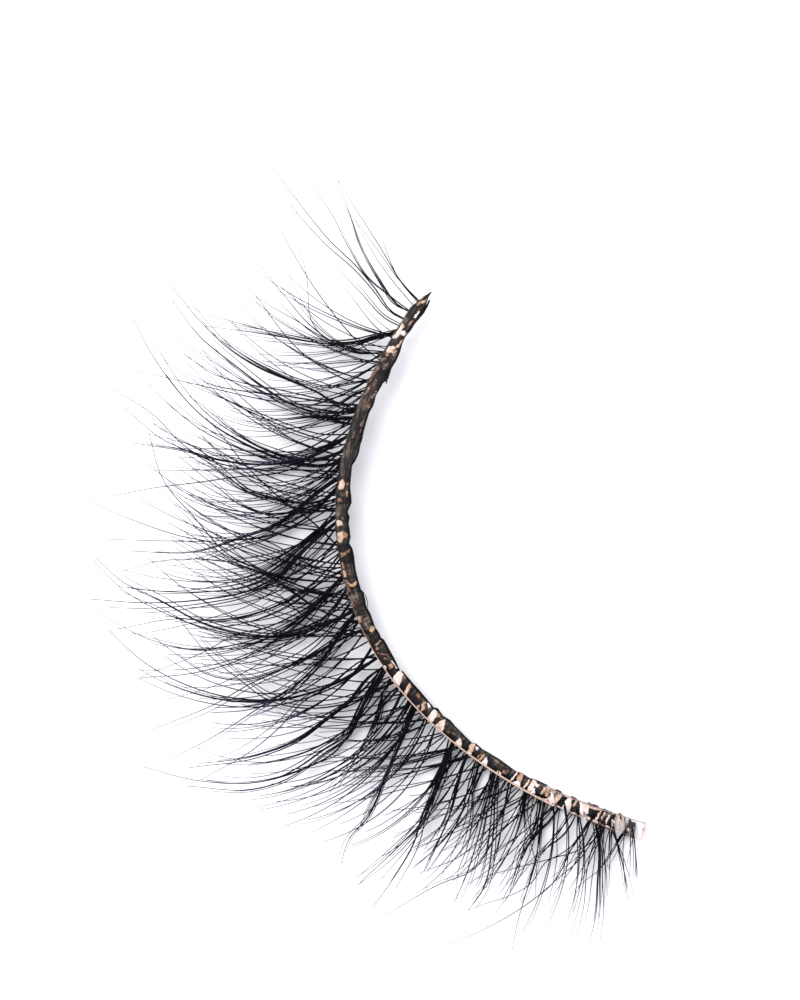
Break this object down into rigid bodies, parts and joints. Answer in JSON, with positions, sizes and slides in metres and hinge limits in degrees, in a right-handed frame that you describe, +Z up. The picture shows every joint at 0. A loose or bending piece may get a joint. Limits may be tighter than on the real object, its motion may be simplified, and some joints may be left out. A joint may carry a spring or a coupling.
{
  "type": "false eyelash strip",
  "caption": "Curved false eyelash strip: a thin clear band over glued roots, with clustered black lashes that sweep outwards and curl up.",
  "frame": {"origin": "on the table under the middle of the whole strip's box", "axes": "+X along the band's chord from the inner corner to the outer corner, +Y from the band towards the lash tips, +Z up, the way the tips curl"},
  "size_m": [0.038, 0.0204, 0.0054],
  "materials": {
    "clear_band": "clear, faintly pink, glossy",
    "lash_fringe": "fine black fibre with a soft shine, stiffened with glue at the roots"
  },
  "bodies": {
    "root": {"clear_band": "clear_band", "lash_fringe": "lash_fringe"}
  },
  "joints": []
}
